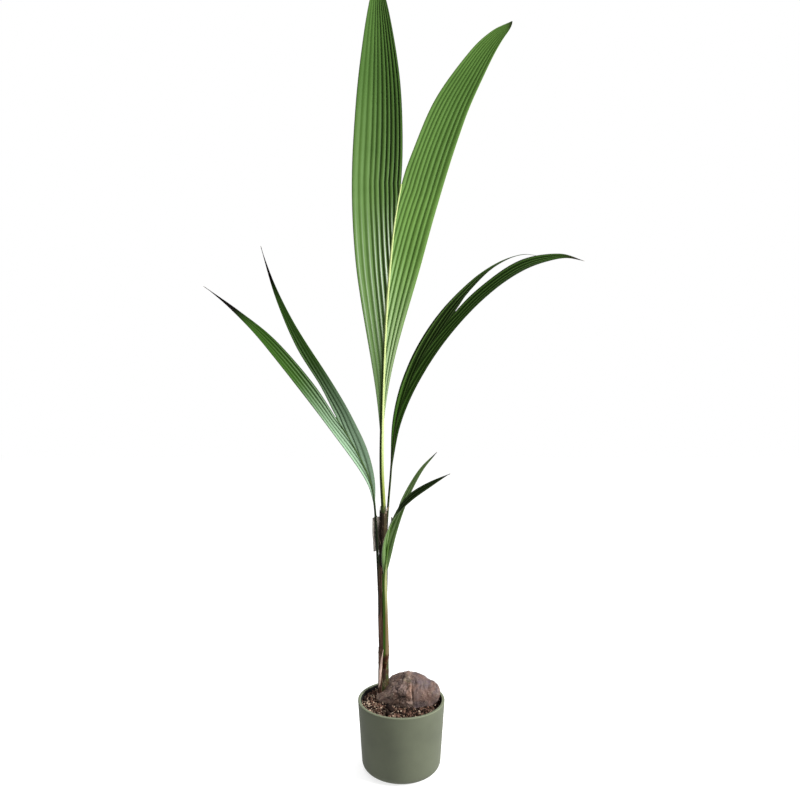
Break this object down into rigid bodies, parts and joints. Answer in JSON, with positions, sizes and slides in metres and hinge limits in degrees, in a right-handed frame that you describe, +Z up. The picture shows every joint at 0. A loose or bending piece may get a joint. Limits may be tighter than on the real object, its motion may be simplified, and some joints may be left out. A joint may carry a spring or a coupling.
{
  "type": "young coconut palm in a pot",
  "caption": "Sprouted coconut in a plain round pot, with a sheathed stem and long pleated leaves that fork at the tip.",
  "frame": {"origin": "centre of the pot's flat underside", "axes": "+Z up along the plant, the front of the plant faces -Y, the long arching leaf reaches to +X"},
  "size_m": [0.8389, 0.2938, 1.879],
  "materials": {
    "pot": "matte sage-green pot",
    "potting_mix": "moist coir and bark crumbs",
    "husk": "dry grey-brown fibrous husk",
    "stem": "brown fibrous sheaths over green",
    "dry_sheath": "dry pinkish papery sheath",
    "fibre": "woven grey-brown fibre",
    "bright_stalk": "smooth waxy yellow-green",
    "dark_stalk": "smooth waxy dark green",
    "pale_stalk": "smooth waxy pale green",
    "young_leaf": "pleated satin leaf",
    "old_leaf": "pleated satin dark leaf",
    "small_leaf": "pleated satin leaf"
  },
  "bodies": {
    "root": {"pot": "pot", "potting_mix": "potting_mix", "nut": "husk", "stem": "stem", "torn_sheath": "dry_sheath", "fibre_sheath": "fibre", "upright_stalk": "bright_stalk", "upright_left_lobe": "young_leaf", "upright_right_lobe": "young_leaf", "left_stalk": "dark_stalk", "left_outer_lobe": "old_leaf", "left_inner_lobe": "old_leaf", "right_stalk": "dark_stalk", "right_lower_lobe": "old_leaf", "right_upper_lobe": "old_leaf", "small_stalk": "pale_stalk", "small_back_lobe": "small_leaf", "small_front_lobe": "small_leaf"}
  },
  "joints": []
}
